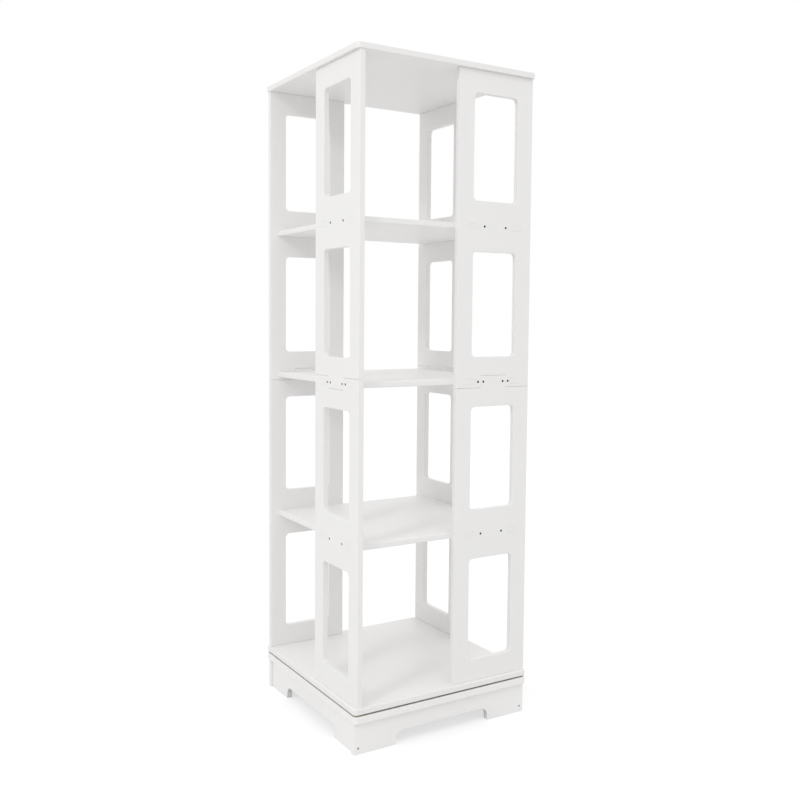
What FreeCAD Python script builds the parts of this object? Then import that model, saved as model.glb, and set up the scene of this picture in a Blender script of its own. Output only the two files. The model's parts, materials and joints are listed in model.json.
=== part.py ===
import FreeCAD, Part
import math
import os

# Revolving bookcase: four open tiers turn on a low base with bracket feet.
# Millimetres, +Z up, origin on the floor under the turning axis.
# The front is the side that faces -Y, and every quarter turn of the case looks like the last.

# The top board, the turning deck and the base board share one square outline.
board_side = 440.0
board_corner = 8.0
board_softening = 1.5
board_under_softening = 0.8
top_thickness = 12.0
deck_thickness = 12.0
base_thickness = 15.0

# Base: front and back skirts run past the ends of the side skirts.
skirt_height = 66.0
skirt_thickness = 12.0
skirt_face_overhang = 7.0
skirt_end_overhang = 2.5
skirt_softening = 1.0
side_skirt_setback = 4.0
arch_width = 236.0
arch_height = 28.0
arch_corner = 17.0
foot_rounding = 3.0

# Swivel bearing, half sunk in the base board.
swivel_gap = 4.0
pocket_depth = 5.0
pocket_clearance = 1.0
ring_thickness = 3.0
ring_land = 17.0
ball_circle = 164.0
ball_diameter = 6.0
ball_count = 24
ball_clearance = 0.3
cage_thickness = 1.0
cage_rim = 3.0

# Tiers and shelves. Where no panel covers them, shelf edges are set back.
tier_height = 318.0
shelf_thickness = 12.0
shelf_setback = 3.0
shelf_softening = 2.0

# Side panels, each with one window for each tier. The square boards stand past their faces
# and, by less, past their ends at the corners of the case.
panel_width = 193.0
panel_thickness = 12.0
panel_face_overhang = 7.0
panel_end_overhang = 2.5
panel_softening = 1.0
stile_width = 39.0
rail_height = 47.5
window_corner = 10.0

# Stepped joint of the panel halves, and the tenons of the shelves.
tongue_width = 66.0
joint_margin = 7.0
joint_gap = 0.3
joint_screw_offset = 7.0
tenon_offset = 5.0
tenon_width = 25.0
tenon_clearance = 0.15

# Long socket screws, used wherever two boards meet.
screw_length = 38.0
screw_head = 5.0
screw_head_height = 3.0
screw_shank = 3.5
screw_point = 3.0
screw_socket = 2.5
screw_socket_depth = 2.0
screw_recess = 0.2
shelf_screw_spacing = 56.0
end_screw_spacing = 120.0
cap_thickness = 2.0
base_screw_spacing = 300.0
skirt_screw_height = 13.0

# Short countersunk screws of the bearing rings.
ring_screw_count = 4
ring_screw_length = 11.0
ring_screw_head = 7.0
ring_screw_shank = 3.5
ring_screw_socket = 2.5
ring_screw_socket_depth = 1.5

# Heights
base_bottom = skirt_height
base_top = base_bottom + base_thickness
deck_bottom = base_top + swivel_gap
deck_top = deck_bottom + deck_thickness
shelf_names = ("lower", "middle", "upper")
tier_floors = [deck_top + n * (tier_height + shelf_thickness) for n in range(len(shelf_names) + 1)]
shelf_bottoms = {name: tier_floors[n] + tier_height for n, name in enumerate(shelf_names)}
top_bottom = tier_floors[-1] + tier_height
top_top = top_bottom + top_thickness

# Distances from the turning axis
panel_face = board_side / 2 - panel_face_overhang
panel_end = board_side / 2 - panel_end_overhang
panel_back = panel_face - panel_thickness
panel_free_edge = panel_end - panel_width
panel_centre = panel_end - panel_width / 2
skirt_face = board_side / 2 - skirt_face_overhang
skirt_end = board_side / 2 - skirt_end_overhang
side_skirt_face = skirt_end - side_skirt_setback
shelf_edge = panel_back - shelf_setback

# Joint and tenon places, measured from a panel's centre line
joint_low = shelf_bottoms["middle"] - joint_margin
joint_high = shelf_bottoms["middle"] + shelf_thickness + joint_margin
tongue_screw = tongue_width / 2 - joint_screw_offset
ear_screw = tongue_width / 2 + joint_screw_offset
tenon_inner = ear_screw + tenon_offset
tenon_outer = tenon_inner + tenon_width

# Bearing places
pocket_floor = base_top - pocket_depth
ball_level = (pocket_floor + deck_bottom) / 2
ring_inner = ball_circle / 2 - ring_land
ring_outer = ball_circle / 2 + ring_land
ring_screw_offset = ring_land / 2 + ball_diameter / 4

QUARTERS = ("front", "right", "back", "left")
UP = FreeCAD.Vector(0, 0, 1)
DOWN = FreeCAD.Vector(0, 0, -1)
INWARD = FreeCAD.Vector(0, 1, 0)
ORIGIN = FreeCAD.Vector(0, 0, 0)


def vector(x, y, z):
    return FreeCAD.Vector(x, y, z)


def block(x0, x1, y0, y1, z0, z1):
    return Part.makeBox(x1 - x0, y1 - y0, z1 - z0, vector(x0, y0, z0))


def turned(shape, quarter):
    """A copy of a shape made for the front, turned to another side of the case."""
    copy = shape.copy()
    copy.rotate(ORIGIN, UP, 90 * quarter)
    return copy


def on_four_sides(shapes):
    return [turned(shape, quarter) for quarter in range(4) for shape in shapes]


def lies_along(edge, axis):
    first, last = (vertex.Point for vertex in (edge.Vertexes[0], edge.Vertexes[-1]))
    return (last - first).cross(axis).Length < 1e-6 < (last - first).Length


def in_plane(edge, axis, distance):
    """True for an edge that lies in the plane at a distance along an axis."""
    box = edge.BoundBox
    low = vector(box.XMin, box.YMin, box.ZMin).dot(axis)
    high = vector(box.XMax, box.YMax, box.ZMax).dot(axis)
    return abs(low - distance) < 1e-4 and abs(high - distance) < 1e-4


def softened(shape, radius, axis, distances):
    """The shape with its edges rounded in the planes at these distances along an axis."""
    edges = [e for e in shape.Edges if any(in_plane(e, axis, d) for d in distances)]
    return shape.makeFillet(radius, edges)


def round_corners(shape, radius, axis, keep=lambda edge: True):
    edges = [e for e in shape.Edges if lies_along(e, axis) and keep(e)]
    return shape.makeFillet(radius, edges)


# Screws

def hexagon_socket(width, depth):
    radius = width / math.sqrt(3)
    corners = [vector(radius * math.cos(a), radius * math.sin(a), 0)
               for a in (math.radians(60 * n) for n in range(7))]
    return Part.Face(Part.makePolygon(corners)).extrude(vector(0, 0, depth))


def long_screw_blank():
    """A long screw along +Z without its socket, the face of its head at the origin."""
    shank_end = screw_length - screw_point
    head = Part.makeCylinder(screw_head / 2, screw_head_height)
    shank = Part.makeCylinder(screw_shank / 2, shank_end)
    point = Part.makeCone(screw_shank / 2, screw_shank / 4, screw_point, vector(0, 0, shank_end))
    return head.fuse([shank, point]).removeSplitter()


def ring_screw_blank():
    cone_height = (ring_screw_head - ring_screw_shank) / 2
    head = Part.makeCone(ring_screw_head / 2, ring_screw_shank / 2, cone_height)
    shank = Part.makeCylinder(ring_screw_shank / 2, ring_screw_length)
    return head.fuse(shank).removeSplitter()


def seated(shape, point, drive):
    """A copy of a shape made along +Z, moved to a point and turned to a drive direction."""
    copy = shape.copy()
    copy.Placement = FreeCAD.Placement(point, FreeCAD.Rotation(UP, drive))
    return copy


def long_screw(point, drive):
    socket = hexagon_socket(screw_socket, screw_socket_depth)
    return seated(long_screw_blank().cut(socket), point, drive)


def long_screw_hole(point, drive, recess):
    """The room for a long screw, with a bore above its head up to the board's face."""
    bore = Part.makeCylinder(screw_head / 2, recess, vector(0, 0, -recess))
    return seated(long_screw_blank().fuse(bore), point, drive)


def ring_screw(point, drive):
    socket = hexagon_socket(ring_screw_socket, ring_screw_socket_depth)
    return seated(ring_screw_blank().cut(socket), point, drive)


def ring_screw_hole(point, drive):
    return seated(ring_screw_blank(), point, drive)


def shelf_screw_points(shelf):
    """Heads of the screws through the front panel into one shelf."""
    offsets = (shelf_screw_spacing / 2,)
    if shelf == "middle":
        offsets = (tongue_screw, ear_screw)
    level = shelf_bottoms[shelf] + shelf_thickness / 2
    depth = screw_recess - panel_face
    return [vector(panel_centre + side * offset, depth, level) for offset in offsets for side in (-1, 1)]


def end_screw_points(level):
    """Places on the front panel's centre plane for the screws into its head or foot."""
    depth = panel_thickness / 2 - panel_face
    return [vector(panel_centre + side * end_screw_spacing / 2, depth, level) for side in (-1, 1)]


def deck_screw_points():
    return end_screw_points(deck_bottom + screw_recess)


def top_screw_points():
    return end_screw_points(top_top - cap_thickness)


def skirt_screw_points():
    across = side_skirt_face - skirt_thickness / 2
    return [vector(side * across, screw_recess - skirt_face, skirt_screw_height) for side in (-1, 1)]


def base_screw_points(face):
    depth = skirt_thickness / 2 - face
    return [vector(side * base_screw_spacing / 2, depth, base_top - screw_recess) for side in (-1, 1)]


def ring_screw_points(radius, level):
    angles = (math.tau * (n + 0.5) / ring_screw_count for n in range(ring_screw_count))
    return [vector(radius * math.cos(a), radius * math.sin(a), level) for a in angles]


def lower_ring_screw_points():
    return ring_screw_points(ball_circle / 2 + ring_screw_offset, pocket_floor + ring_thickness)


def upper_ring_screw_points():
    return ring_screw_points(ball_circle / 2 - ring_screw_offset, deck_bottom - ring_thickness)


def base_screw_holes():
    front = [long_screw_hole(p, DOWN, screw_recess) for p in base_screw_points(skirt_face)]
    side = [long_screw_hole(p, DOWN, screw_recess) for p in base_screw_points(side_skirt_face)]
    return [turned(h, n) for n in (0, 2) for h in front] + [turned(h, n) for n in (1, 3) for h in side]


# Boards

def square_board(bottom, thickness):
    half = board_side / 2
    blank = block(-half, half, -half, half, bottom, bottom + thickness)
    blank = round_corners(blank, board_corner, UP)
    blank = softened(blank, board_softening, UP, (bottom + thickness,))
    return softened(blank, board_under_softening, UP, (bottom,))


def top_board():
    holes = [long_screw_hole(p, DOWN, cap_thickness) for p in top_screw_points()]
    return square_board(top_bottom, top_thickness).cut(on_four_sides(holes))


def deck():
    holes = on_four_sides([long_screw_hole(p, UP, screw_recess) for p in deck_screw_points()])
    holes += [ring_screw_hole(p, UP) for p in upper_ring_screw_points()]
    return square_board(deck_bottom, deck_thickness).cut(holes)


def base_board():
    pocket = Part.makeCylinder(ring_outer + pocket_clearance, pocket_depth, vector(0, 0, pocket_floor))
    holes = base_screw_holes() + [ring_screw_hole(p, DOWN) for p in lower_ring_screw_points()]
    return square_board(base_bottom, base_thickness).cut([pocket] + holes)


def shelf_front_outline():
    """The front quarter of a shelf's outline: a bare edge, then the edge behind the panel with two tenons."""
    points = [(-panel_back, -shelf_edge), (panel_free_edge, -shelf_edge), (panel_free_edge, -panel_back)]
    for start in (panel_centre - tenon_outer, panel_centre + tenon_inner):
        points += [(start, -panel_back), (start, -panel_face)]
        points += [(start + tenon_width, -panel_face), (start + tenon_width, -panel_back)]
    return points


def shelf(name):
    points = []
    for quarter in range(4):
        turn = FreeCAD.Rotation(UP, 90 * quarter)
        points += [turn.multVec(vector(x, y, 0)) for x, y in shelf_front_outline()]
    outline = Part.Face(Part.makePolygon(points + points[:1]))
    bottom = shelf_bottoms[name]
    board = outline.extrude(vector(0, 0, shelf_thickness))
    board.translate(vector(0, 0, bottom))

    def is_bare(edge):
        box = edge.BoundBox
        level = box.ZMax - box.ZMin < 1e-4
        across = any(in_plane(edge, axis, side * shelf_edge)
                     for axis in (vector(1, 0, 0), INWARD) for side in (-1, 1))
        return level and across

    board = board.makeFillet(shelf_softening, [e for e in board.Edges if is_bare(e)])
    holes = [long_screw_hole(p, INWARD, screw_recess) for p in shelf_screw_points(name)]
    return board.cut(on_four_sides(holes))


# Side panels, made as the front one

def window(tier):
    floor = tier_floors[tier]
    opening = block(panel_free_edge + stile_width, panel_end - stile_width, -panel_face, -panel_back,
                    floor + rail_height, floor + tier_height - rail_height)
    return round_corners(opening, window_corner, INWARD)


def tenon_slot(name, start):
    bottom = shelf_bottoms[name]
    return block(start - tenon_clearance, start + tenon_width + tenon_clearance, -panel_face, -panel_back,
                 bottom - tenon_clearance, bottom + shelf_thickness + tenon_clearance)


def panel_slice(left, right, bottom, top):
    return block(panel_centre + left, panel_centre + right, -panel_face, -panel_back, bottom, top)


def panel_halves(tongue_below):
    """Lower and upper half of a panel. The tongue stands on the lower half or hangs from the upper one."""
    half = panel_width / 2
    tongue = [(-tongue_width / 2, tongue_width / 2)]
    ears = [(-half, -tongue_width / 2), (tongue_width / 2, half)]
    rising, hanging = (tongue, ears) if tongue_below else (ears, tongue)
    step = joint_high - joint_low
    lower_top = joint_low - joint_gap / 2
    upper_bottom = joint_high + joint_gap / 2
    lower = panel_slice(-half, half, deck_top, lower_top)
    upper = panel_slice(-half, half, upper_bottom, top_bottom)
    rising_pieces = [panel_slice(a, b, lower_top, lower_top + step) for a, b in rising]
    hanging_pieces = [panel_slice(a, b, upper_bottom - step, upper_bottom) for a, b in hanging]
    lower = lower.fuse(rising_pieces).removeSplitter()
    upper = upper.fuse(hanging_pieces).removeSplitter()
    cuts = panel_cuts()
    faces = (-panel_face, -panel_back)
    halves = []
    for blank, tiers in ((lower, (0, 1)), (upper, (2, 3))):
        pierced = blank.cut([window(tier) for tier in tiers])
        halves.append(softened(pierced, panel_softening, INWARD, faces).cut(cuts))
    return halves


def panel_cuts():
    """Tenon slots and screw holes of a panel."""
    cuts = []
    for name in shelf_names:
        cuts += [tenon_slot(name, panel_centre - tenon_outer), tenon_slot(name, panel_centre + tenon_inner)]
        cuts += [long_screw_hole(p, INWARD, screw_recess) for p in shelf_screw_points(name)]
    cuts += [long_screw_hole(p, UP, screw_recess) for p in deck_screw_points()]
    cuts += [long_screw_hole(p, DOWN, cap_thickness) for p in top_screw_points()]
    return cuts


# Base

def is_inner_foot_edge(edge):
    box = edge.BoundBox
    return box.ZMax < 1e-4 and abs(abs(box.XMin) - arch_width / 2) < 1e-4


def skirt(face, reach):
    """A skirt at the front, with its arch: face is its distance from the axis, reach its half length."""
    blank = block(-reach, reach, -face, skirt_thickness - face, 0, skirt_height)
    arch = block(-arch_width / 2, arch_width / 2, -face, skirt_thickness - face, 0, arch_height)
    arch = round_corners(arch, arch_corner, INWARD, lambda e: e.BoundBox.ZMin > arch_height / 2)
    board = round_corners(blank.cut(arch), foot_rounding, INWARD, is_inner_foot_edge)
    board = softened(board, skirt_softening, INWARD, (-face,))
    holes = [long_screw_hole(p, INWARD, screw_recess) for p in skirt_screw_points()]
    return board, [turned(hole, n) for n in (0, 2) for hole in holes]


def front_skirt():
    board, holes = skirt(skirt_face, skirt_end)
    return board.cut(holes + base_screw_holes())


def side_skirt():
    """The right skirt, between the front and the back one."""
    board, holes = skirt(side_skirt_face, skirt_face - skirt_thickness)
    return turned(board, 1).cut(holes + base_screw_holes())


# Swivel bearing

def flat_ring(inner, outer, bottom, thickness):
    place = vector(0, 0, bottom)
    return Part.makeCylinder(outer, thickness, place).cut(Part.makeCylinder(inner, thickness, place))


def ball_groove():
    return Part.makeTorus(ball_circle / 2, ball_diameter / 2 + ball_clearance, vector(0, 0, ball_level))


def bearing_lower_ring():
    ring = flat_ring(ring_inner, ring_outer, pocket_floor, ring_thickness)
    return ring.cut([ball_groove()] + [ring_screw_hole(p, DOWN) for p in lower_ring_screw_points()])


def bearing_upper_ring():
    ring = flat_ring(ring_inner, ring_outer, deck_bottom - ring_thickness, ring_thickness)
    return ring.cut([ball_groove()] + [ring_screw_hole(p, UP) for p in upper_ring_screw_points()])


def ball_centres():
    angles = (math.tau * n / ball_count for n in range(ball_count))
    return [vector(ball_circle / 2 * math.cos(a), ball_circle / 2 * math.sin(a), ball_level) for a in angles]


def bearing_cage():
    reach = ball_diameter / 2 + cage_rim
    bottom = ball_level - cage_thickness / 2
    ring = flat_ring(ball_circle / 2 - reach, ball_circle / 2 + reach, bottom, cage_thickness)
    pockets = [Part.makeSphere(ball_diameter / 2 + ball_clearance, c) for c in ball_centres()]
    return ring.cut(pockets)


def bearing_balls():
    return Part.makeCompound([Part.makeSphere(ball_diameter / 2, c) for c in ball_centres()])


# The whole bookcase, one entry for each separate piece or set of like fixings

def screw_set(points, drive):
    return Part.makeCompound(on_four_sides([long_screw(p, drive) for p in points]))


def base_screws():
    front = [long_screw(p, DOWN) for p in base_screw_points(skirt_face)]
    side = [long_screw(p, DOWN) for p in base_screw_points(side_skirt_face)]
    solids = [turned(s, n) for n in (0, 2) for s in front] + [turned(s, n) for n in (1, 3) for s in side]
    return Part.makeCompound(solids)


def build():
    parts = {
        "base_board": base_board(),
        "base_skirt_front": front_skirt(),
        "base_skirt_back": turned(front_skirt(), 2),
        "base_skirt_right": side_skirt(),
        "base_skirt_left": turned(side_skirt(), 2),
        "base_board_screws": base_screws(),
        "bearing_lower_ring": bearing_lower_ring(),
        "bearing_cage": bearing_cage(),
        "bearing_balls": bearing_balls(),
        "bearing_upper_ring": bearing_upper_ring(),
        "deck": deck(),
        "deck_screws": screw_set(deck_screw_points(), UP),
        "top_board": top_board(),
        "top_screws": screw_set(top_screw_points(), DOWN),
    }
    skirt_screws = [long_screw(p, INWARD) for p in skirt_screw_points()]
    parts["base_skirt_screws"] = Part.makeCompound([turned(s, n) for n in (0, 2) for s in skirt_screws])
    lower_ring_screws = [ring_screw(p, DOWN) for p in lower_ring_screw_points()]
    parts["bearing_lower_screws"] = Part.makeCompound(lower_ring_screws)
    upper_ring_screws = [ring_screw(p, UP) for p in upper_ring_screw_points()]
    parts["bearing_upper_screws"] = Part.makeCompound(upper_ring_screws)
    caps = [Part.makeCylinder(screw_head / 2, cap_thickness, p) for p in top_screw_points()]
    parts["top_screw_caps"] = Part.makeCompound(on_four_sides(caps))
    for name in shelf_names:
        parts[name + "_shelf"] = shelf(name)
        parts[name + "_shelf_screws"] = screw_set(shelf_screw_points(name), INWARD)
    halves = {True: panel_halves(True), False: panel_halves(False)}
    for quarter, side in enumerate(QUARTERS):
        lower, upper = halves[quarter % 2 == 0]
        parts["lower_panel_" + side] = turned(lower, quarter)
        parts["upper_panel_" + side] = turned(upper, quarter)
    return parts


os.makedirs("parts", exist_ok=True)
for node, shape in build().items():
    shape.exportStep(os.path.join("parts", node + ".step"))
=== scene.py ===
import json
import math

import bmesh
import bpy
from bpy.props import FloatProperty, FloatVectorProperty, IntProperty, PointerProperty
from mathutils import Matrix, Vector


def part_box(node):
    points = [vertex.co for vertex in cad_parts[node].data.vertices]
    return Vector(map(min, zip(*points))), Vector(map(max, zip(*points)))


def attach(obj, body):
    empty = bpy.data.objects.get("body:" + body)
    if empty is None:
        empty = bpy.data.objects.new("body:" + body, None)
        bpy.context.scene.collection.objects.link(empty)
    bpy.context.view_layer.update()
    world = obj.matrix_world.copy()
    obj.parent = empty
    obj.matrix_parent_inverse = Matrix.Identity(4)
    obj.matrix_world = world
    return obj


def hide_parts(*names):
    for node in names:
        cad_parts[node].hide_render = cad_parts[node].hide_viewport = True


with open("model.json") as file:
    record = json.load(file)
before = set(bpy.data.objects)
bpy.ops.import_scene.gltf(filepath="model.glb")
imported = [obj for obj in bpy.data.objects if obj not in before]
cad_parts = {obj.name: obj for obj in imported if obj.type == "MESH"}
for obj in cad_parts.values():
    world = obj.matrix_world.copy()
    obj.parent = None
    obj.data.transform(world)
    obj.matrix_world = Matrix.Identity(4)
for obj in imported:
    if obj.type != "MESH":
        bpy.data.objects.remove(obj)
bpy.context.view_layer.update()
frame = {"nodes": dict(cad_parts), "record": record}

bl_info = {
    "name": "Revolving Bookcase",
    "version": (1, 0, 0),
    "blender": (4, 5, 0),
    "location": "View3D > Sidebar > Bookcase",
    "description": "Paints and fits out a white revolving bookcase and sets its stage",
    "category": "Object",
}

SIDES = ("front", "right", "back", "left")
SHELVES = ("lower", "middle", "upper")
UP = Vector((0, 0, 1))
DOWN = Vector((0, 0, -1))
INWARD = Vector((0, 1, 0))

# Scales of the finishes' patterns in repeats per metre, and heights of their relief in metres
CLOUD_SCALE = 2.6
SAG_SCALE = 9.0
GLOSS_SCALE = 30.0
MOTTLE_SCALE = 140.0
PEEL_SCALE = 520.0
FIBRE_SCALE = 950.0
PATINA_SCALE = 900.0
ROLLING_SCALE = (40.0, 1400.0, 400.0)
SMEAR_SCALE = 700.0
FLOW_SCALE = 160.0
MOULD_SCALE = 2600.0
FLOOR_SCALE = 0.8
SAG_HEIGHT = 0.0006
FIBRE_HEIGHT = 0.00008
ROLLING_HEIGHT = 0.00002
MOULD_HEIGHT = 0.00003

# Range of a noise that a finish uses, and shares to which a finish darkens
NOISE_RANGE = (0.3, 0.7)
FIBRE_SHADE = 0.8
PATINA_SHADE = 0.62
ROLLING_SHADE = 0.78
FLOOR_DRIFT = 0.99

# Cosines between which a board's face turns into its cut edge, and its bare underside into paint
EDGE_FACING = (0.55, 0.9)
BARE_FACING = (-0.98, -0.94)

# Short countersunk screws of the bearing's rings, in metres, and the first one's angle in degrees
RING_SCREW = {
    "Head Diameter": 0.007,
    "Seat Diameter": 0.0035,
    "Head Height": 0.00175,
    "Edge Rounding": 0.0002,
    "Socket Width": 0.0025,
    "Socket Depth": 0.0015,
    "Shank Diameter": 0.0035,
    "Length": 0.011,
    "Thread Pitch": 0.0013,
}
RING_SCREW_START = 45

# Rim of a cap in metres, rim of a long screw as a share of its head, and where a rim bends
CAP_ROUNDING = 0.0003
HEAD_ROUNDING = 1 / 12
RIM_BEND = 0.3

# Shares of a screw's girth that its core has, and of its shank at which the point starts
THREAD_CORE = 0.72
POINT_START = 0.9

# Facets of the shapes, tolerances for their first row and their seams, and the sharp angle in degrees
HEAD_FACETS = 24
CAP_FACETS = 32
SHANK_FACETS = 12
SHANK_ROWS = 72
BALL_SUBDIVISIONS = 4
FIRST_ROW = 1e-4
MERGE_DISTANCE = 1e-6
SHARP_ANGLE = 35

# Stage in metres, with the camera's sensor in millimetres
SENSOR_WIDTH = 36.0
FLOOR_REACH = 30.0
LAMP_AIM = Vector((0, 0, 0.7))


# Sizes, colours and lights that a user would change

class BookcasePaint(bpy.types.PropertyGroup):
    colour: FloatVectorProperty(
        name="Paint Colour", description="Colour of the satin paint on all boards",
        subtype="COLOR", size=3, min=0, max=1, default=(0.885, 0.877, 0.871))
    drift: FloatVectorProperty(
        name="Drift Colour", description="Colour that the paint drifts to in broad, faint clouds",
        subtype="COLOR", size=3, min=0, max=1, default=(0.872, 0.864, 0.857))
    edge_colour: FloatVectorProperty(
        name="Edge Colour", description="Colour of the paint on cut edges, where the fibres drink it",
        subtype="COLOR", size=3, min=0, max=1, default=(0.872, 0.863, 0.855))
    bare_colour: FloatVectorProperty(
        name="Bare Colour", description="Colour of the fibreboard under the deck, which is left bare",
        subtype="COLOR", size=3, min=0, max=1, default=(0.50, 0.38, 0.27))
    # Painted light: the base's paint is made lighter than the case's, standing in for floor bounce light
    # that reaches the base too weakly
    base_painted_light: FloatProperty(
        name="Base Lift",
        description="How many times lighter the paint on the base is than that on the case",
        min=0, max=1.1, default=1.05)
    roughness: FloatProperty(
        name="Roughness", description="Roughness of the paint on the boards' faces",
        subtype="FACTOR", min=0, max=1, default=0.42)
    peel_height: FloatProperty(
        name="Peel Height", description="Height of the fine orange peel left by the spray gun",
        subtype="DISTANCE", unit="LENGTH", default=0.00004)


class BookcaseScrews(bpy.types.PropertyGroup):
    head_diameter: FloatProperty(
        name="Head Diameter", description="Diameter of a long screw's head",
        subtype="DISTANCE", unit="LENGTH", default=0.005)
    head_height: FloatProperty(
        name="Head Height", description="Height of a long screw's head",
        subtype="DISTANCE", unit="LENGTH", default=0.003)
    socket_width: FloatProperty(
        name="Socket Width", description="Width across the flats of the hexagon socket",
        subtype="DISTANCE", unit="LENGTH", default=0.0025)
    socket_depth: FloatProperty(
        name="Socket Depth", description="Depth of the hexagon socket",
        subtype="DISTANCE", unit="LENGTH", default=0.002)
    shank_diameter: FloatProperty(
        name="Shank Diameter", description="Outer diameter of the thread",
        subtype="DISTANCE", unit="LENGTH", default=0.0035)
    length: FloatProperty(
        name="Length", description="Length of a long screw from the face of its head to its point",
        subtype="DISTANCE", unit="LENGTH", default=0.038)
    pitch: FloatProperty(
        name="Thread Pitch", description="Distance between the turns of the thread",
        subtype="DISTANCE", unit="LENGTH", default=0.0016)
    shelf_spacing: FloatProperty(
        name="Shelf Spacing",
        description="Distance between the two screws of a panel into the lower or upper shelf",
        subtype="DISTANCE", unit="LENGTH", default=0.056)
    tongue_spacing: FloatProperty(
        name="Tongue Spacing", description="Distance between the two screws through a panel's tongue",
        subtype="DISTANCE", unit="LENGTH", default=0.052)
    ear_spacing: FloatProperty(
        name="Ear Spacing", description="Distance between the two screws beside a panel's tongue",
        subtype="DISTANCE", unit="LENGTH", default=0.080)
    end_spacing: FloatProperty(
        name="End Spacing", description="Distance between the two screws into a panel's head or foot",
        subtype="DISTANCE", unit="LENGTH", default=0.120)
    base_spacing: FloatProperty(
        name="Base Spacing", description="Distance between the two screws of the base board into a skirt",
        subtype="DISTANCE", unit="LENGTH", default=0.300)
    case_colour: FloatVectorProperty(
        name="Case Screw Colour", description="Colour of the black zinc plating on the screws of the case",
        subtype="COLOR", size=3, min=0, max=1, default=(0.06, 0.06, 0.063))
    base_colour: FloatVectorProperty(
        name="Base Screw Colour",
        description="Colour of the bright zinc plating on the screws of base and bearing",
        subtype="COLOR", size=3, min=0, max=1, default=(0.62, 0.62, 0.63))
    cap_colour: FloatVectorProperty(
        name="Cap Colour", description="Colour of the plastic caps over the screws of the top board",
        subtype="COLOR", size=3, min=0, max=1, default=(0.85, 0.85, 0.84))
    cap_drift: FloatVectorProperty(
        name="Cap Drift", description="Colour that the plastic of the caps drifts to",
        subtype="COLOR", size=3, min=0, max=1, default=(0.82, 0.82, 0.81))


class BookcaseBearing(bpy.types.PropertyGroup):
    ball_count: IntProperty(
        name="Ball Count", description="Number of balls in the cage", min=3, default=24)
    ball_circle: FloatProperty(
        name="Ball Circle", description="Diameter of the circle on which the balls run",
        subtype="DISTANCE", unit="LENGTH", default=0.164)
    ball_diameter: FloatProperty(
        name="Ball Diameter", description="Diameter of a ball",
        subtype="DISTANCE", unit="LENGTH", default=0.006)
    screw_circle_lower: FloatProperty(
        name="Lower Screw Circle", description="Diameter of the circle of the lower ring's screws",
        subtype="DISTANCE", unit="LENGTH", default=0.184)
    screw_circle_upper: FloatProperty(
        name="Upper Screw Circle", description="Diameter of the circle of the upper ring's screws",
        subtype="DISTANCE", unit="LENGTH", default=0.144)
    steel_colour: FloatVectorProperty(
        name="Steel Colour", description="Colour of the rolled steel rings",
        subtype="COLOR", size=3, min=0, max=1, default=(0.62, 0.62, 0.63))
    ball_colour: FloatVectorProperty(
        name="Ball Colour", description="Colour of the polished steel balls",
        subtype="COLOR", size=3, min=0, max=1, default=(0.78, 0.78, 0.79))
    ball_smear: FloatVectorProperty(
        name="Ball Smear", description="Colour of the balls where they are smeared with grease",
        subtype="COLOR", size=3, min=0, max=1, default=(0.70, 0.70, 0.71))
    cage_colour: FloatVectorProperty(
        name="Cage Colour", description="Colour of the ball cage's plastic",
        subtype="COLOR", size=3, min=0, max=1, default=(0.08, 0.08, 0.085))
    cage_drift: FloatVectorProperty(
        name="Cage Drift", description="Colour that the plastic of the ball cage drifts to",
        subtype="COLOR", size=3, min=0, max=1, default=(0.11, 0.11, 0.115))


class BookcaseStage(bpy.types.PropertyGroup):
    camera_place: FloatVectorProperty(
        name="Camera Place", description="Where the camera stands",
        subtype="TRANSLATION", unit="LENGTH", size=3, default=(-1.1030, -1.8263, 0.8859))
    camera_yaw: FloatProperty(
        name="Yaw", description="Turn of the camera about the upright, from the direction of +Y",
        subtype="ANGLE", unit="ROTATION", default=-0.5495)
    camera_pitch: FloatProperty(
        name="Pitch", description="Tilt of the camera above the horizon",
        subtype="ANGLE", unit="ROTATION", default=-0.0662)
    camera_roll: FloatProperty(
        name="Roll", description="Turn of the camera about its line of sight",
        subtype="ANGLE", unit="ROTATION", default=0.0080)
    camera_lens: FloatProperty(
        name="Lens", description="Focal length in millimetres on a 36 mm sensor",
        min=1, default=42.05)
    camera_shift: FloatVectorProperty(
        name="Shift", description="Shift of the lens, as a share of the picture's width",
        size=2, default=(0, -0.025))
    sky: FloatProperty(
        name="Sky", description="Strength of the even light from all sides",
        min=0, default=0.655)
    overhead: FloatProperty(
        name="Overhead",
        description="Strength by which the even light grows from the horizon to straight above",
        min=0, default=0.45)
    key_power: FloatProperty(
        name="Key Light",
        description="Power of the smaller light high at the left, which draws the shadows",
        subtype="POWER", unit="POWER", min=0, default=31.5)
    key_place: FloatVectorProperty(
        name="Key Place", description="Where the key light stands",
        subtype="TRANSLATION", unit="LENGTH", size=3, default=(-3.4, -1.5, 3.2))
    key_size: FloatProperty(
        name="Key Size", description="Diameter of the key light",
        subtype="DISTANCE", unit="LENGTH", min=0, default=0.9)
    fill_power: FloatProperty(
        name="Fill Light", description="Power of the large soft light high in front",
        subtype="POWER", unit="POWER", min=0, default=9.0)
    fill_place: FloatVectorProperty(
        name="Fill Place", description="Where the fill light stands",
        subtype="TRANSLATION", unit="LENGTH", size=3, default=(-0.4, -3.2, 3.4))
    fill_size: FloatProperty(
        name="Fill Size", description="Diameter of the fill light",
        subtype="DISTANCE", unit="LENGTH", min=0, default=2.0)
    floor_colour: FloatVectorProperty(
        name="Floor Colour", description="Colour of the studio floor in the light that it throws back",
        subtype="COLOR", size=3, min=0, max=1, default=(0.76, 0.76, 0.76))
    floor_white: FloatProperty(
        name="Floor White", description="Share of the floor's white that no shadow darkens",
        subtype="FACTOR", min=0, max=1, default=0.64)
    floor_shade: FloatProperty(
        name="Floor Shade", description="Share of the floor's white that the object's shadow can darken",
        subtype="FACTOR", min=0, max=1, default=0.40)


# Node helpers

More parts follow.
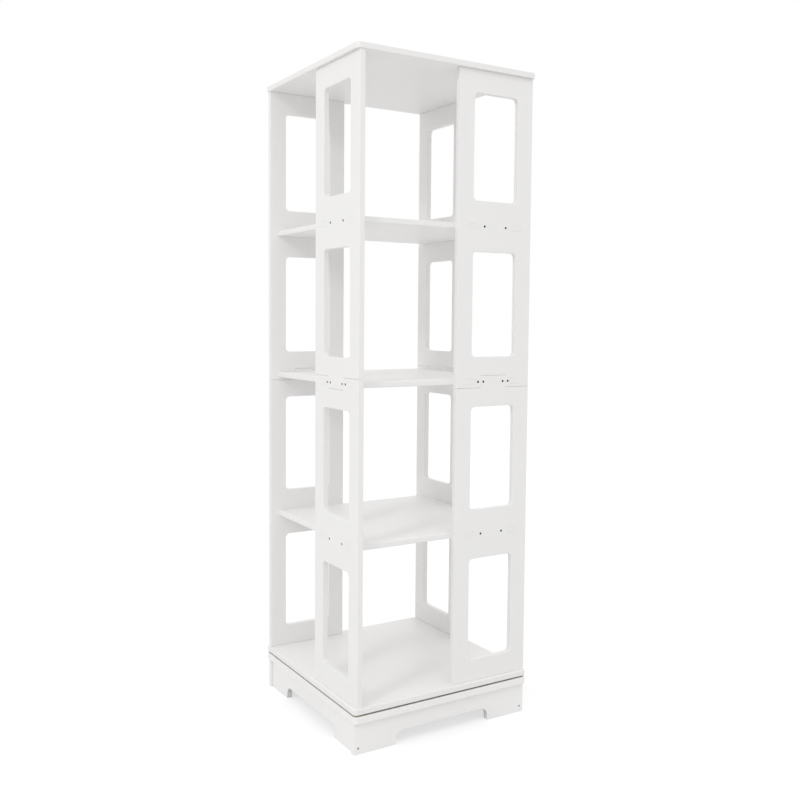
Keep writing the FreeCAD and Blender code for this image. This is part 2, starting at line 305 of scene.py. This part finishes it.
def feed(tree, value, socket):
    """Joins a socket to another one, or sets its value."""
    if isinstance(value, bpy.types.NodeSocket):
        tree.links.new(value, socket)
    else:
        socket.default_value = value


def add_node(tree, kind, inputs=None, **settings):
    node = tree.nodes.new(kind)
    for key, value in settings.items():
        setattr(node, key, value)
    for key, value in (inputs or {}).items():
        feed(tree, value, node.inputs[key])
    return node


def maths(tree, operation, *values):
    node = add_node(tree, "ShaderNodeMath", dict(enumerate(values)), operation=operation)
    return node.outputs[0]


def noise(tree, place, scale, detail=2.0, roughness=0.5):
    inputs = {"Vector": place, "Scale": scale, "Detail": detail, "Roughness": roughness}
    return add_node(tree, "ShaderNodeTexNoise", inputs).outputs["Fac"]


def ramp(tree, value, low, high, start, end):
    """The value mapped from low..high to start..end and kept there."""
    inputs = {0: value, 1: low, 2: high, 3: start, 4: end}
    return add_node(tree, "ShaderNodeMapRange", inputs, clamp=True).outputs[0]


def blend_colours(tree, share, first, second):
    node = add_node(tree, "ShaderNodeMix", {0: share, 6: first, 7: second}, data_type="RGBA")
    return node.outputs[2]


def bump(tree, height, distance, strength=1.0, normal=None):
    inputs = {"Height": height, "Distance": distance, "Strength": strength}
    if normal is not None:
        inputs["Normal"] = normal
    return add_node(tree, "ShaderNodeBump", inputs).outputs["Normal"]


def opaque(colour):
    return (*colour, 1.0)


def new_material(name):
    """An empty material with its object coordinates and its object normal."""
    material = bpy.data.materials.new(name)
    material.use_nodes = True
    tree = material.node_tree
    tree.nodes.clear()
    place = add_node(tree, "ShaderNodeTexCoord")
    return material, tree, place.outputs["Object"], place.outputs["Normal"]


def finish_surface(tree, inputs):
    surface = add_node(tree, "ShaderNodeBsdfPrincipled", inputs)
    add_node(tree, "ShaderNodeOutputMaterial", {"Surface": surface.outputs["BSDF"]})


# Finishes

def satin_paint(name, across, lift=1.0, bare_below=False):
    """White satin paint on a fibreboard whose thickness runs along the direction across."""
    settings = bpy.context.scene.bookcase_paint
    tones = (settings.colour, settings.drift, settings.edge_colour)
    # lift makes the paint lighter; on the base this is painted light, standing in for bounce light from the
    # floor
    coat, drift, cut = (opaque([lift * c for c in tone]) for tone in tones)
    material, tree, place, normal = new_material(name)
    facing = add_node(tree, "ShaderNodeVectorMath", {0: normal, 1: across}, operation="DOT_PRODUCT")
    edge = ramp(tree, maths(tree, "ABSOLUTE", facing.outputs["Value"]), *EDGE_FACING, 1.0, 0.0)
    clouds = ramp(tree, noise(tree, place, CLOUD_SCALE, 3.0), 0.35, 0.7, 0.0, 1.0)
    mottle = ramp(tree, noise(tree, place, MOTTLE_SCALE, 3.0), *NOISE_RANGE, 0.0, 0.35)
    fibres = noise(tree, place, FIBRE_SCALE, 3.0, 0.65)
    peel = noise(tree, place, PEEL_SCALE, 1.0)
    sag = noise(tree, place, SAG_SCALE, 1.0)
    colour = blend_colours(tree, clouds, coat, drift)
    colour = blend_colours(tree, mottle, colour, drift)
    colour = blend_colours(tree, edge, colour, cut)
    if bare_below:
        fibre_tone = blend_colours(tree, fibres, opaque(settings.bare_colour),
                                   opaque([FIBRE_SHADE * c for c in settings.bare_colour]))
        rise = add_node(tree, "ShaderNodeSeparateXYZ", {"Vector": normal}).outputs["Z"]
        bare = ramp(tree, rise, *BARE_FACING, 1.0, 0.0)
        colour = blend_colours(tree, bare, colour, fibre_tone)
    glossy, dull = settings.roughness - 0.04, settings.roughness + 0.04
    gloss = ramp(tree, noise(tree, place, GLOSS_SCALE, 2.0), *NOISE_RANGE, glossy, dull)
    rough = maths(tree, "ADD", gloss, maths(tree, "MULTIPLY", edge, 0.1))
    smooth = bump(tree, sag, SAG_HEIGHT, 0.2)
    smooth = bump(tree, peel, settings.peel_height, 0.5, smooth)
    smooth = bump(tree, fibres, FIBRE_HEIGHT, maths(tree, "MULTIPLY", edge, 0.5), smooth)
    finish_surface(tree, {"Base Color": colour, "Roughness": rough, "Normal": smooth, "IOR": 1.5})
    return material


def zinc_plating(name, colour):
    material, tree, place, _ = new_material(name)
    patina = ramp(tree, noise(tree, place, PATINA_SCALE, 3.0), *NOISE_RANGE, 0.0, 1.0)
    tint = blend_colours(tree, patina, opaque(colour), opaque([PATINA_SHADE * c for c in colour]))
    rough = ramp(tree, patina, 0.0, 1.0, 0.32, 0.5)
    finish_surface(tree, {"Base Color": tint, "Roughness": rough, "Metallic": 1.0})
    return material


def rolled_steel():
    settings = bpy.context.scene.bookcase_bearing
    material, tree, place, _ = new_material("rolled_ring_steel")
    grain_place = add_node(tree, "ShaderNodeMapping", {"Vector": place, "Scale": ROLLING_SCALE})
    grain = noise(tree, grain_place.outputs["Vector"], 1.0, 4.0)
    duller = [ROLLING_SHADE * c for c in settings.steel_colour]
    colour = blend_colours(tree, grain, opaque(settings.steel_colour), opaque(duller))
    rough = ramp(tree, grain, *NOISE_RANGE, 0.28, 0.44)
    finish_surface(tree, {"Base Color": colour, "Roughness": rough, "Metallic": 1.0,
                          "Normal": bump(tree, grain, ROLLING_HEIGHT, 0.4)})
    return material


def polished_steel():
    settings = bpy.context.scene.bookcase_bearing
    material, tree, place, _ = new_material("polished_ball_steel")
    smear = noise(tree, place, SMEAR_SCALE, 2.0)
    colour = blend_colours(tree, smear, opaque(settings.ball_colour), opaque(settings.ball_smear))
    rough = ramp(tree, smear, *NOISE_RANGE, 0.06, 0.14)
    finish_surface(tree, {"Base Color": colour, "Roughness": rough, "Metallic": 1.0})
    return material


def moulded_plastic(name, colour, drift, roughness):
    material, tree, place, _ = new_material(name)
    flow = noise(tree, place, FLOW_SCALE, 3.0)
    grain = noise(tree, place, MOULD_SCALE, 2.0)
    tint = blend_colours(tree, flow, opaque(colour), opaque(drift))
    rough = ramp(tree, flow, *NOISE_RANGE, roughness - 0.05, roughness + 0.05)
    finish_surface(tree, {"Base Color": tint, "Roughness": rough,
                          "Normal": bump(tree, grain, MOULD_HEIGHT, 0.5)})
    return material


def paint_node(name, material):
    """Gives a node of the frame its finish."""
    mesh = frame["nodes"][name].data
    mesh.materials.clear()
    mesh.materials.append(material)


# Node trees for what repeats

def new_tree(name, sizes):
    """An empty tree with named sizes and a material, and the sockets that give them."""
    tree = bpy.data.node_groups.new(name, "GeometryNodeTree")
    tree.interface.new_socket("Geometry", in_out="OUTPUT", socket_type="NodeSocketGeometry")
    tree.interface.new_socket("Geometry", in_out="INPUT", socket_type="NodeSocketGeometry")
    for size, kind in sizes.items():
        tree.interface.new_socket(size, in_out="INPUT", socket_type=kind)
    tree.interface.new_socket("Material", in_out="INPUT", socket_type="NodeSocketMaterial")
    return tree, add_node(tree, "NodeGroupInput").outputs


def end_tree(tree, given, instances):
    """Ends a tree: the instances become real and get their material."""
    real = add_node(tree, "GeometryNodeRealizeInstances", {"Geometry": instances})
    painted = add_node(tree, "GeometryNodeSetMaterial",
                       {"Geometry": real.outputs["Geometry"], "Material": given["Material"]})
    add_node(tree, "NodeGroupOutput", {"Geometry": painted.outputs["Geometry"]})


def sheet_fields(tree):
    """Fields that run from 0 to 1 along and across a unit grid."""
    position = add_node(tree, "GeometryNodeInputPosition").outputs["Position"]
    parts = add_node(tree, "ShaderNodeSeparateXYZ", {"Vector": position}).outputs
    return maths(tree, "ADD", parts["X"], 0.5), maths(tree, "ADD", parts["Y"], 0.5)


def turned_shell(tree, rows, around, radius, height):
    """A grid of rows wrapped round Z, with fields for its radius and height, merged at seam and poles."""
    grid = add_node(tree, "GeometryNodeMeshGrid",
                    {"Size X": 1.0, "Size Y": 1.0, "Vertices X": rows, "Vertices Y": around + 1})
    angle = maths(tree, "MULTIPLY", sheet_fields(tree)[1], math.tau)
    x = maths(tree, "MULTIPLY", radius, maths(tree, "COSINE", angle))
    y = maths(tree, "MULTIPLY", radius, maths(tree, "SINE", angle))
    point = add_node(tree, "ShaderNodeCombineXYZ", {"X": x, "Y": y, "Z": height})
    bent = add_node(tree, "GeometryNodeSetPosition",
                    {"Geometry": grid.outputs["Mesh"], "Position": point.outputs["Vector"]})
    merged = add_node(tree, "GeometryNodeMergeByDistance",
                      {"Geometry": bent.outputs["Geometry"], "Distance": MERGE_DISTANCE})
    return merged.outputs["Geometry"]


def lathe(tree, profile, around):
    """A shell turned from a profile, a list of pairs of radius and height from pole to pole."""
    row = maths(tree, "ROUND", maths(tree, "MULTIPLY", sheet_fields(tree)[0], len(profile) - 1.0))
    fields = []
    for values in zip(*profile):
        switch = add_node(tree, "GeometryNodeIndexSwitch", data_type="FLOAT")
        while len(switch.index_switch_items) < len(values):
            switch.index_switch_items.new()
        feed(tree, row, switch.inputs[0])
        for n, value in enumerate(values):
            feed(tree, value, switch.inputs[n + 1])
        fields.append(switch.outputs[0])
    return turned_shell(tree, len(profile), around, *fields)


def hexagon_radius(tree, width):
    """A field for the outline of a hexagon of a width across its flats, round a lathe's axis."""
    angle = maths(tree, "MULTIPLY", sheet_fields(tree)[1], math.tau)
    off = maths(tree, "SUBTRACT", maths(tree, "MODULO", angle, math.tau / 6), math.tau / 12)
    return maths(tree, "DIVIDE", maths(tree, "DIVIDE", width, 2.0), maths(tree, "COSINE", off))


def rounded_rim(tree, radius, rounding):
    """The part of a profile that rounds the edge between a face at height 0 and a side."""
    inset = maths(tree, "MULTIPLY", rounding, RIM_BEND)
    rim = maths(tree, "SUBTRACT", radius, rounding)
    shoulder = maths(tree, "SUBTRACT", radius, inset)
    return [(rim, 0.0), (shoulder, inset), (radius, rounding)]


def seat(tree, given, shape):
    """Instances of a shape on the seat points, turned so that their +Z follows each point's drive."""
    drive = add_node(tree, "GeometryNodeInputNamedAttribute", {"Name": "drive"}, data_type="FLOAT_VECTOR")
    way = drive.outputs["Attribute"]
    turn = add_node(tree, "FunctionNodeAlignRotationToVector", {"Vector": way}, axis="Z")
    inputs = {"Points": given["Geometry"], "Instance": shape, "Rotation": turn.outputs["Rotation"]}
    placed = add_node(tree, "GeometryNodeInstanceOnPoints", inputs)
    return placed.outputs["Instances"]


def socket_screw_tree():
    """Hexagon socket screws with a rounded head and a rolled thread, driven along +Z."""
    length = "NodeSocketFloat"
    tree, given = new_tree("Socket Screws", {
        "Head Diameter": length, "Seat Diameter": length, "Head Height": length, "Edge Rounding": length,
        "Socket Width": length, "Socket Depth": length, "Shank Diameter": length, "Length": length,
        "Thread Pitch": length})
    head = maths(tree, "DIVIDE", given["Head Diameter"], 2.0)
    under = maths(tree, "DIVIDE", given["Seat Diameter"], 2.0)
    rounding, height, depth = given["Edge Rounding"], given["Head Height"], given["Socket Depth"]
    flats = hexagon_radius(tree, given["Socket Width"])
    socket = [(0.0, depth), (flats, depth), (flats, 0.0)]
    seat_side = [(under, height), (0.0, height)]
    head_shell = lathe(tree, socket + rounded_rim(tree, head, rounding) + seat_side, HEAD_FACETS)
    along, across = sheet_fields(tree)
    reach = maths(tree, "SUBTRACT", given["Length"], height)
    level = maths(tree, "ADD", height, maths(tree, "MULTIPLY", along, reach))
    turns = maths(tree, "SUBTRACT", maths(tree, "DIVIDE", level, given["Thread Pitch"]), across)
    crest = maths(tree, "PINGPONG", turns, 0.5)
    girth = maths(tree, "ADD", THREAD_CORE, maths(tree, "MULTIPLY", crest, 2 * (1 - THREAD_CORE)))
    point = ramp(tree, along, POINT_START, 1.0, 1.0, 0.0)
    closed = maths(tree, "GREATER_THAN", along, FIRST_ROW)
    radius = maths(tree, "MULTIPLY", maths(tree, "DIVIDE", given["Shank Diameter"], 2.0), girth)
    radius = maths(tree, "MULTIPLY", maths(tree, "MULTIPLY", radius, point), closed)
    shank_shell = turned_shell(tree, SHANK_ROWS, SHANK_FACETS, radius, level)
    whole = add_node(tree, "GeometryNodeJoinGeometry")
    for shell in (head_shell, shank_shell):
        tree.links.new(shell, whole.inputs["Geometry"])
    end_tree(tree, given, seat(tree, given, whole.outputs["Geometry"]))
    return tree


def cap_tree():
    """Round cover caps with a softened rim, their top faces at the seat points."""
    length = "NodeSocketFloat"
    tree, given = new_tree("Cover Caps", {"Diameter": length, "Thickness": length, "Edge Rounding": length})
    radius = maths(tree, "DIVIDE", given["Diameter"], 2.0)
    rim = rounded_rim(tree, radius, given["Edge Rounding"])
    profile = [(0.0, 0.0), *rim, (radius, given["Thickness"]), (0.0, given["Thickness"])]
    end_tree(tree, given, seat(tree, given, lathe(tree, profile, CAP_FACETS)))
    return tree


def ball_tree():
    """A ring of bearing balls about the turning axis."""
    tree, given = new_tree("Bearing Balls", {
        "Count": "NodeSocketInt", "Circle Diameter": "NodeSocketFloat", "Ball Diameter": "NodeSocketFloat",
        "Level": "NodeSocketFloat"})
    circle = add_node(tree, "GeometryNodeMeshCircle", {
        "Vertices": given["Count"], "Radius": maths(tree, "DIVIDE", given["Circle Diameter"], 2.0)})
    lift = add_node(tree, "ShaderNodeCombineXYZ", {"Z": given["Level"]})
    raised = add_node(tree, "GeometryNodeSetPosition",
                      {"Geometry": circle.outputs["Mesh"], "Offset": lift.outputs["Vector"]})
    radius = maths(tree, "DIVIDE", given["Ball Diameter"], 2.0)
    ball = add_node(tree, "GeometryNodeMeshIcoSphere",
                    {"Radius": radius, "Subdivisions": BALL_SUBDIVISIONS})
    placed = add_node(tree, "GeometryNodeInstanceOnPoints",
                      {"Points": raised.outputs["Geometry"], "Instance": ball.outputs["Mesh"]})
    end_tree(tree, given, placed.outputs["Instances"])
    return tree


def grow(name, tree, values, seats=()):
    """A plain mesh object made by a tree from seat points, which are pairs of place and drive."""
    points = bpy.data.meshes.new(name)
    points.from_pydata([place for place, _ in seats], [], [])
    drives = points.attributes.new("drive", "FLOAT_VECTOR", "POINT")
    for n, (_, drive) in enumerate(seats):
        drives.data[n].vector = drive
    piece = bpy.data.objects.new(name, points)
    bpy.context.scene.collection.objects.link(piece)
    maker = piece.modifiers.new("Maker", "NODES")
    maker.node_group = tree
    for socket in tree.interface.items_tree:
        if socket.in_out == "INPUT" and socket.name in values:
            maker[socket.identifier] = values[socket.name]
    grown = piece.evaluated_get(bpy.context.evaluated_depsgraph_get())
    mesh = bpy.data.meshes.new_from_object(grown)
    piece.modifiers.remove(maker)
    piece.data = mesh
    bpy.data.meshes.remove(points)
    mesh.name = name
    for extra in [a.name for a in mesh.attributes if a.name in ("drive", "UVMap")]:
        mesh.attributes.remove(mesh.attributes[extra])
    if not mesh.polygons:
        raise RuntimeError(f"{name} came out empty")
    tidy_shading(mesh)
    return piece


def tidy_shading(mesh):
    """Turns all faces outwards and shades smooth up to the sharp angle."""
    work = bmesh.new()
    work.from_mesh(mesh)
    bmesh.ops.recalc_face_normals(work, faces=work.faces)
    work.to_mesh(mesh)
    work.free()
    mesh.shade_smooth()
    mesh.set_sharp_from_angle(angle=math.radians(SHARP_ANGLE))


def stand_for(piece, node):
    """Puts a piece in the place of a node, on the node's body."""
    bodies = frame["record"]["behaviour"]["bodies"]
    body = next(b for b, members in bodies.items() if node in members)
    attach(piece, body)
    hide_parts(node)


# Places of the fixings

def quarter_turns(seats, quarters=range(4)):
    """Seats on the front, turned to the given sides of the case."""
    turned = []
    for quarter in quarters:
        turn = Matrix.Rotation(quarter * math.pi / 2, 3, "Z")
        turned += [(turn @ place, turn @ drive) for place, drive in seats]
    return turned


def pair(centre, spacing, depth, level, drive):
    """Two seats beside a centre line on the front."""
    return [(Vector((centre + side * spacing / 2, depth, level)), drive) for side in (-1, 1)]


def panel_line():
    """Centre line of the front panel: its place across, and its middle plane."""
    low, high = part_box("lower_panel_front")
    return (low.x + high.x) / 2, (low.y + high.y) / 2


def shelf_screw_seats(shelf):
    settings = bpy.context.scene.bookcase_screws
    low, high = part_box(shelf + "_shelf_screws")
    spacings = (settings.shelf_spacing,)
    if shelf == "middle":
        spacings = (settings.tongue_spacing, settings.ear_spacing)
    centre, _ = panel_line()
    front = [s for spacing in spacings for s in pair(centre, spacing, low.y, (low.z + high.z) / 2, INWARD)]
    return quarter_turns(front)


def deck_screw_seats():
    centre, depth = panel_line()
    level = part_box("deck_screws")[0].z
    return quarter_turns(pair(centre, bpy.context.scene.bookcase_screws.end_spacing, depth, level, UP))


def top_screw_seats(node):
    centre, depth = panel_line()
    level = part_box(node)[1].z
    return quarter_turns(pair(centre, bpy.context.scene.bookcase_screws.end_spacing, depth, level, DOWN))


def base_board_screw_seats():
    spacing = bpy.context.scene.bookcase_screws.base_spacing
    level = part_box("base_board_screws")[1].z
    front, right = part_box("base_skirt_front"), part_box("base_skirt_right")
    seats = quarter_turns(pair(0, spacing, (front[0].y + front[1].y) / 2, level, DOWN), (0, 2))
    return seats + quarter_turns(pair(0, spacing, -(right[0].x + right[1].x) / 2, level, DOWN), (1, 3))


def skirt_screw_seats():
    low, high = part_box("base_skirt_screws")
    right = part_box("base_skirt_right")
    front = pair(0, right[0].x + right[1].x, low.y, (low.z + high.z) / 2, INWARD)
    return quarter_turns(front, (0, 2))


def ring_screw_seats(circle, level, drive):
    first = Matrix.Rotation(math.radians(RING_SCREW_START), 3, "Z") @ Vector((circle / 2, 0, level))
    return quarter_turns([(first, drive)])


# Stage

def seen_directly(tree):
    """1 for rays from the camera and for what mirrors and glass show of the background."""
    path = add_node(tree, "ShaderNodeLightPath").outputs
    seen = maths(tree, "MAXIMUM", path["Is Camera Ray"], path["Is Glossy Ray"])
    return maths(tree, "MAXIMUM", seen, path["Is Transmission Ray"])


def set_floor(scene):
    stage = scene.bookcase_stage
    mesh = bpy.data.meshes.new("studio_floor")
    corners = [(x * FLOOR_REACH, y * FLOOR_REACH, 0) for x, y in ((-1, -1), (1, -1), (1, 1), (-1, 1))]
    mesh.from_pydata(corners, [], [(0, 1, 2, 3)])
    floor = bpy.data.objects.new("studio_floor", mesh)
    scene.collection.objects.link(floor)
    material, tree, place, _ = new_material("studio_floor")
    colour = blend_colours(tree, noise(tree, place, FLOOR_SCALE, 2.0), opaque(stage.floor_colour),
                           opaque([FLOOR_DRIFT * c for c in stage.floor_colour]))
    plain = add_node(tree, "ShaderNodeBsdfDiffuse", {"Color": colour}).outputs["BSDF"]
    grey = opaque([stage.floor_shade] * 3)
    shade = add_node(tree, "ShaderNodeBsdfDiffuse", {"Color": grey}).outputs["BSDF"]
    white = add_node(tree, "ShaderNodeEmission", {"Strength": stage.floor_white}).outputs["Emission"]
    pale = add_node(tree, "ShaderNodeAddShader", {0: white, 1: shade}).outputs["Shader"]
    look = add_node(tree, "ShaderNodeMixShader", {0: seen_directly(tree), 1: plain, 2: pale})
    add_node(tree, "ShaderNodeOutputMaterial", {"Surface": look.outputs["Shader"]})
    material.cycles.emission_sampling = "NONE"
    mesh.materials.append(material)


def set_light(scene):
    stage = scene.bookcase_stage
    world = bpy.data.worlds.new("studio")
    world.use_nodes = True
    tree = world.node_tree
    tree.nodes.clear()
    way = add_node(tree, "ShaderNodeTexCoord").outputs["Generated"]
    rise = add_node(tree, "ShaderNodeSeparateXYZ", {"Vector": way}).outputs["Z"]
    light = ramp(tree, rise, 0.0, 1.0, stage.sky, stage.sky + stage.overhead)
    strength = maths(tree, "MAXIMUM", seen_directly(tree), light)
    sky = add_node(tree, "ShaderNodeBackground", {"Color": (1, 1, 1, 1), "Strength": strength})
    add_node(tree, "ShaderNodeOutputWorld", {"Surface": sky.outputs["Background"]})
    scene.world = world
    add_lamp(scene, "key_light", Vector(stage.key_place), stage.key_size, stage.key_power)
    add_lamp(scene, "fill_light", Vector(stage.fill_place), stage.fill_size, stage.fill_power)


def add_lamp(scene, name, place, size, power):
    """A round soft light, turned to the middle of the bookcase."""
    lamp = bpy.data.lights.new(name, "AREA")
    lamp.shape = "DISK"
    lamp.size = size
    lamp.energy = power
    light = bpy.data.objects.new(name, lamp)
    light.location = place
    light.rotation_euler = (LAMP_AIM - place).to_track_quat("-Z", "Y").to_euler()
    scene.collection.objects.link(light)


def set_camera(scene):
    stage = scene.bookcase_stage
    lens = bpy.data.cameras.new("camera")
    lens.sensor_width = SENSOR_WIDTH
    lens.lens = stage.camera_lens
    lens.shift_x, lens.shift_y = stage.camera_shift
    camera = bpy.data.objects.new("camera", lens)
    yaw = Matrix.Rotation(stage.camera_yaw, 3, "Z")
    pitch = Matrix.Rotation(math.pi / 2 + stage.camera_pitch, 3, "X")
    roll = Matrix.Rotation(stage.camera_roll, 3, "Z")
    camera.rotation_euler = (yaw @ pitch @ roll).to_euler()
    camera.location = stage.camera_place
    scene.collection.objects.link(camera)
    scene.camera = camera


# Operators, in the order in which they run

class BOOKCASE_OT_panels(bpy.types.Operator):
    """Paint the halves of the four side panels"""
    bl_idname = "object.bookcase_panels"
    bl_label = "Paint Side Panels"

    def execute(self, context):
        along_depth = satin_paint("panel_paint_front_back", (0, 1, 0))
        along_width = satin_paint("panel_paint_left_right", (1, 0, 0))
        for side in SIDES:
            paint = along_depth if side in ("front", "back") else along_width
            paint_node("lower_panel_" + side, paint)
            paint_node("upper_panel_" + side, paint)
        return {"FINISHED"}


class BOOKCASE_OT_boards(bpy.types.Operator):
    """Paint the top board, the shelves and the turning deck"""
    bl_idname = "object.bookcase_boards"
    bl_label = "Paint Boards"

    def execute(self, context):
        paint = satin_paint("case_board_paint", (0, 0, 1))
        for node in ("top_board", *(shelf + "_shelf" for shelf in SHELVES)):
            paint_node(node, paint)
        paint_node("deck", satin_paint("deck_paint", (0, 0, 1), bare_below=True))
        return {"FINISHED"}


class BOOKCASE_OT_base(bpy.types.Operator):
    """Paint the base board and the four skirts"""
    bl_idname = "object.bookcase_base"
    bl_label = "Paint Base"

    def execute(self, context):
        # Painted light: the base's paint is lightened by this factor, standing in for floor bounce light
        lift = context.scene.bookcase_paint.base_painted_light
        paint_node("base_board", satin_paint("base_board_paint", (0, 0, 1), lift))
        along_depth = satin_paint("skirt_paint_front_back", (0, 1, 0), lift)
        along_width = satin_paint("skirt_paint_left_right", (1, 0, 0), lift)
        for side in SIDES:
            paint_node("base_skirt_" + side, along_depth if side in ("front", "back") else along_width)
        return {"FINISHED"}


class BOOKCASE_OT_screws(bpy.types.Operator):
    """Set the long hexagon socket screws of the case and the base"""
    bl_idname = "object.bookcase_screws"
    bl_label = "Set Long Screws"

    def execute(self, context):
        settings = context.scene.bookcase_screws
        sizes = {
            "Head Diameter": settings.head_diameter, "Seat Diameter": settings.head_diameter,
            "Head Height": settings.head_height, "Edge Rounding": HEAD_ROUNDING * settings.head_diameter,
            "Socket Width": settings.socket_width, "Socket Depth": settings.socket_depth,
            "Shank Diameter": settings.shank_diameter, "Length": settings.length,
            "Thread Pitch": settings.pitch}
        case = {shelf + "_shelf_screws": shelf_screw_seats(shelf) for shelf in SHELVES}
        case["deck_screws"] = deck_screw_seats()
        case["top_screws"] = top_screw_seats("top_screws")
        base = {"base_board_screws": base_board_screw_seats(), "base_skirt_screws": skirt_screw_seats()}
        black = zinc_plating("black_zinc_plating", settings.case_colour)
        bright = zinc_plating("bright_zinc_plating", settings.base_colour)
        tree = socket_screw_tree()
        for seats, zinc, slot in ((case, black, "screw_zinc"), (base, bright, "bright_zinc")):
            for node, points in seats.items():
                stand_for(grow("set_" + node, tree, {**sizes, "Material": zinc}, points), node)
        return {"FINISHED"}


class BOOKCASE_OT_screw_caps(bpy.types.Operator):
    """Press the cover caps over the screws of the top board"""
    bl_idname = "object.bookcase_screw_caps"
    bl_label = "Press In Screw Caps"

    def execute(self, context):
        settings = context.scene.bookcase_screws
        low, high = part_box("top_screw_caps")
        plastic = moulded_plastic("white_cap_plastic", settings.cap_colour, settings.cap_drift, 0.4)
        sizes = {"Diameter": settings.head_diameter, "Thickness": high.z - low.z,
                 "Edge Rounding": CAP_ROUNDING, "Material": plastic}
        caps = grow("set_top_screw_caps", cap_tree(), sizes, top_screw_seats("top_screw_caps"))
        stand_for(caps, "top_screw_caps")
        return {"FINISHED"}


class BOOKCASE_OT_bearing(bpy.types.Operator):
    """Fit out the swivel bearing: rings, ball cage, balls and ring screws"""
    bl_idname = "object.bookcase_bearing"
    bl_label = "Fit Swivel Bearing"

    def execute(self, context):
        settings = context.scene.bookcase_bearing
        steel = rolled_steel()
        paint_node("bearing_lower_ring", steel)
        paint_node("bearing_upper_ring", steel)
        plastic = moulded_plastic("black_cage_plastic", settings.cage_colour, settings.cage_drift, 0.5)
        paint_node("bearing_cage", plastic)
        low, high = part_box("bearing_balls")
        balls = grow("set_bearing_balls", ball_tree(), {
            "Count": settings.ball_count, "Circle Diameter": settings.ball_circle,
            "Ball Diameter": settings.ball_diameter, "Level": (low.z + high.z) / 2,
            "Material": polished_steel()})
        stand_for(balls, "bearing_balls")
        sizes = {**RING_SCREW, "Material": bpy.data.materials["bright_zinc_plating"]}
        tree = bpy.data.node_groups["Socket Screws"]
        lower, upper = "bearing_lower_screws", "bearing_upper_screws"
        seats = {
            lower: ring_screw_seats(settings.screw_circle_lower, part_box(lower)[1].z, DOWN),
            upper: ring_screw_seats(settings.screw_circle_upper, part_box(upper)[0].z, UP),
        }
        for node, points in seats.items():
            stand_for(grow("set_" + node, tree, sizes, points), node)
        return {"FINISHED"}


class BOOKCASE_OT_stage(bpy.types.Operator):
    """Set the pale floor, the soft studio light and the camera"""
    bl_idname = "scene.bookcase_stage"
    bl_label = "Set Stage"

    def execute(self, context):
        scene = context.scene
        scene.view_settings.view_transform = "Standard"
        set_floor(scene)
        set_light(scene)
        set_camera(scene)
        return {"FINISHED"}


class BOOKCASE_PT_sidebar(bpy.types.Panel):
    """Lists the bookcase's operators and settings"""
    bl_idname = "BOOKCASE_PT_sidebar"
    bl_label = "Revolving Bookcase"
    bl_space_type = "VIEW_3D"
    bl_region_type = "UI"
    bl_category = "Bookcase"

    def draw(self, context):
        for operator in OPERATORS:
            self.layout.operator(operator.bl_idname)
        for name, group in SETTINGS.items():
            box = self.layout.box()
            for key in group.__annotations__:
                box.prop(getattr(context.scene, name), key)


SETTINGS = {
    "bookcase_paint": BookcasePaint,
    "bookcase_screws": BookcaseScrews,
    "bookcase_bearing": BookcaseBearing,
    "bookcase_stage": BookcaseStage,
}
OPERATORS = (
    BOOKCASE_OT_panels,
    BOOKCASE_OT_boards,
    BOOKCASE_OT_base,
    BOOKCASE_OT_screws,
    BOOKCASE_OT_screw_caps,
    BOOKCASE_OT_bearing,
    BOOKCASE_OT_stage,
)


def register():
    for item in (*SETTINGS.values(), *OPERATORS, BOOKCASE_PT_sidebar):
        bpy.utils.register_class(item)
    for name, group in SETTINGS.items():
        setattr(bpy.types.Scene, name, PointerProperty(type=group))


def unregister():
    for name in SETTINGS:
        delattr(bpy.types.Scene, name)
    for item in (BOOKCASE_PT_sidebar, *reversed(OPERATORS), *reversed(SETTINGS.values())):
        bpy.utils.unregister_class(item)


def main():
    register()
    bpy.ops.object.bookcase_panels()
    bpy.ops.object.bookcase_boards()
    bpy.ops.object.bookcase_base()
    bpy.ops.object.bookcase_screws()
    bpy.ops.object.bookcase_screw_caps()
    bpy.ops.object.bookcase_bearing()
    bpy.ops.scene.bookcase_stage()


if __name__ == "__main__":
    main()
